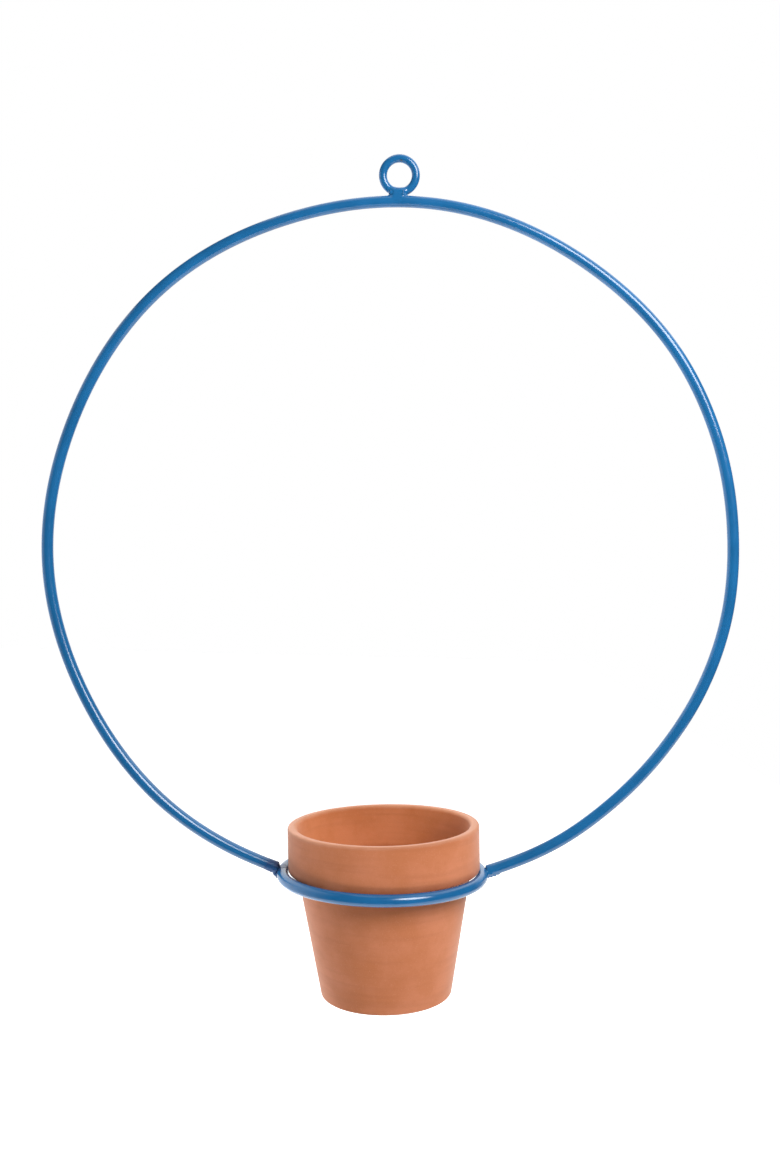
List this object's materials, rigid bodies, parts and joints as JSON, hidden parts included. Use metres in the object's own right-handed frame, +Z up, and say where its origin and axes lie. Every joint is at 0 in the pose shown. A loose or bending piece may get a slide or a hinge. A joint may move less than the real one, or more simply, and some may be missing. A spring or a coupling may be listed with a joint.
{
  "type": "hanging planter",
  "caption": "Round painted steel hoop with a hanging eye on top and a level ring at its foot that holds a loose terracotta pot by its collar.",
  "frame": {"origin": "middle of the hanging eye's hole, where the hook passes through", "axes": "+Z up, +X across the hoop to the right as seen from the front, +Y away from the viewer and along the hole of the eye"},
  "size_m": [0.4, 0.1208, 0.4817],
  "materials": {
    "blue_paint": "glossy, sprayed over the welds",
    "terracotta": "matt, unglazed"
  },
  "bodies": {
    "hanger": {"hoop_rod": "blue_paint", "hanging_eye": "blue_paint", "eye_weld": "blue_paint", "pot_ring": "blue_paint", "left_hoop_weld": "blue_paint", "right_hoop_weld": "blue_paint"},
    "pot": {"clay_pot": "terracotta"}
  },
  "joints": [
    {"name": "pot_lift", "type": "slide", "parent": "hanger", "child": "pot", "axis": [0, 0, 1], "range_m": [0, 0.1]}
  ]
}
